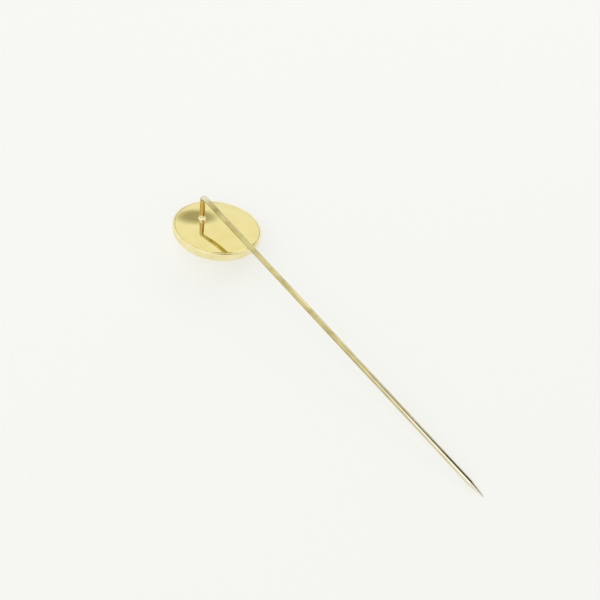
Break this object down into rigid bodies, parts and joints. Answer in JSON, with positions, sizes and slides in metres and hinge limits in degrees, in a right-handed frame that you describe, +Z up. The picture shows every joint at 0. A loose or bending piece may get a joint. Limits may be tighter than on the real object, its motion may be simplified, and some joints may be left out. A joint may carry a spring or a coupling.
{
  "type": "stick pin",
  "caption": "Stick pin with a round, cup-shaped button with a gently domed back and a bent, pointed wire soldered to the back.",
  "frame": {"origin": "on the table, under the middle of the whole pin's bounding box, as it lies face down with its point and the button's edge on the table", "axes": "+X from the button to the point, seen from above; +Z up; the button leans over towards +Y"},
  "size_m": [0.0676, 0.0146, 0.0102],
  "materials": {
    "button_metal": "polished",
    "back_metal": "polished",
    "pin_metal": "polished",
    "solder": "satin"
  },
  "bodies": {
    "root": {"front_shell": "button_metal", "back_plate": "back_metal", "pin_wire": "pin_metal", "solder_joint": "solder", "front_bead": "button_metal", "bead_collar": "button_metal"}
  },
  "joints": []
}
